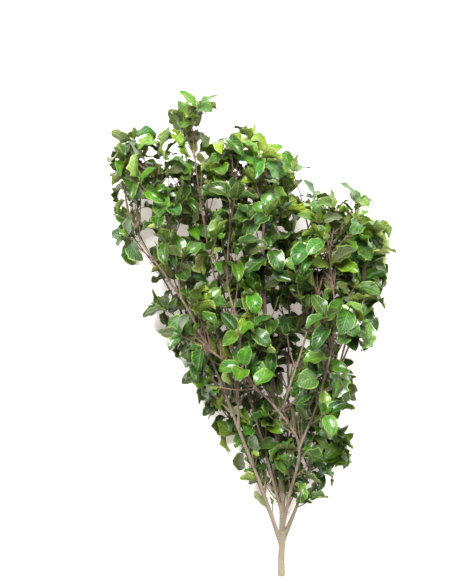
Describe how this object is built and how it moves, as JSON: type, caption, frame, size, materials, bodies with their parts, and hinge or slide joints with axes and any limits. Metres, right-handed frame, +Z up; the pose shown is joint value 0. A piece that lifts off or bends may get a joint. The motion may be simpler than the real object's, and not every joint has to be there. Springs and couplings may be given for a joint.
{
  "type": "dried pittosporum stem",
  "caption": "Long dried leafy stem with a clean cut lower end, limbs spread in a fan, and whorls of small wavy-edged leaves out to the tips, lying on a surface.",
  "frame": {"origin": "middle of the bounding box at its base, on the surface the stem lies on", "axes": "+Z up from the surface, +Y from the cut end to the tips, +X to the right seen from above with the tips away from the viewer"},
  "size_m": [0.4104, 0.7069, 0.2066],
  "materials": {
    "foliage": "satin",
    "leaf_upper": "glossy",
    "leaf_underside": "matte",
    "bark": "rough"
  },
  "bodies": {
    "root": {"main_stem": "foliage", "left_outer_limb": "foliage", "left_inner_limb": "foliage", "left_spur": "foliage", "centre_left_limb": "foliage", "tall_left_limb": "foliage", "front_limb": "foliage", "front_right_limb": "foliage", "right_inner_limb": "foliage", "right_middle_limb": "foliage", "right_outer_limb": "foliage", "right_spur": "foliage", "left_low_limb": "foliage", "right_low_limb": "foliage", "back_left_limb": "foliage", "back_right_limb": "foliage"}
  },
  "joints": []
}
